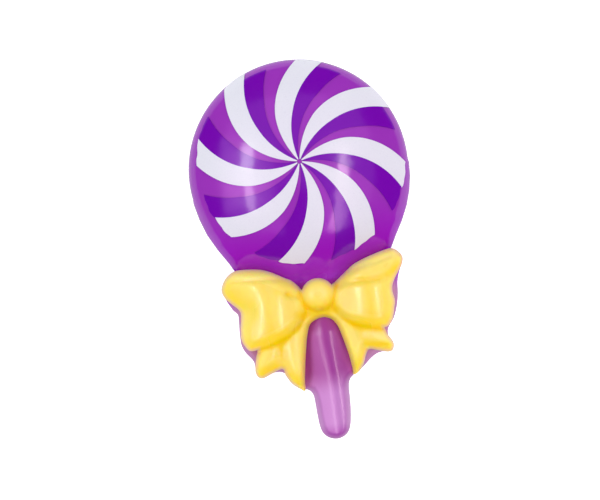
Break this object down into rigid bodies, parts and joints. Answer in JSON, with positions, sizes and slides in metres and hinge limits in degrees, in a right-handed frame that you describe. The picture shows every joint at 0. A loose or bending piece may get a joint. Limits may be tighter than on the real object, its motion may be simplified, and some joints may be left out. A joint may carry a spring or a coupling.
{
  "type": "resin lollipop charm",
  "caption": "Flat-backed resin lollipop charm: a domed disc with a printed pinwheel, a short stick and a moulded bow in front of it.",
  "frame": {"origin": "middle of the length and the width, on the surface that the flat back lies on", "axes": "+Y from the stick's end to the top of the disc, +Z out of the shown side, +X to the right as seen from the shown side"},
  "size_m": [0.022, 0.0382, 0.0069],
  "materials": {
    "purple_resin": "glossy cast resin, lighter where it is thin",
    "yellow_resin": "soft gloss opaque cast resin",
    "white_ink": "satin pearl print",
    "dark_ink": "glossy print"
  },
  "bodies": {
    "root": {"resin_body": "purple_resin", "bow": "yellow_resin", "white_arm_1": "white_ink", "white_arm_2": "white_ink", "white_arm_3": "white_ink", "white_arm_4": "white_ink", "white_arm_5": "white_ink", "white_arm_6": "white_ink", "white_arm_7": "white_ink", "white_arm_8": "white_ink", "dark_arm_1": "dark_ink", "dark_arm_2": "dark_ink", "dark_arm_3": "dark_ink", "dark_arm_4": "dark_ink", "dark_arm_5": "dark_ink", "dark_arm_6": "dark_ink", "dark_arm_7": "dark_ink", "dark_arm_8": "dark_ink"}
  },
  "joints": []
}
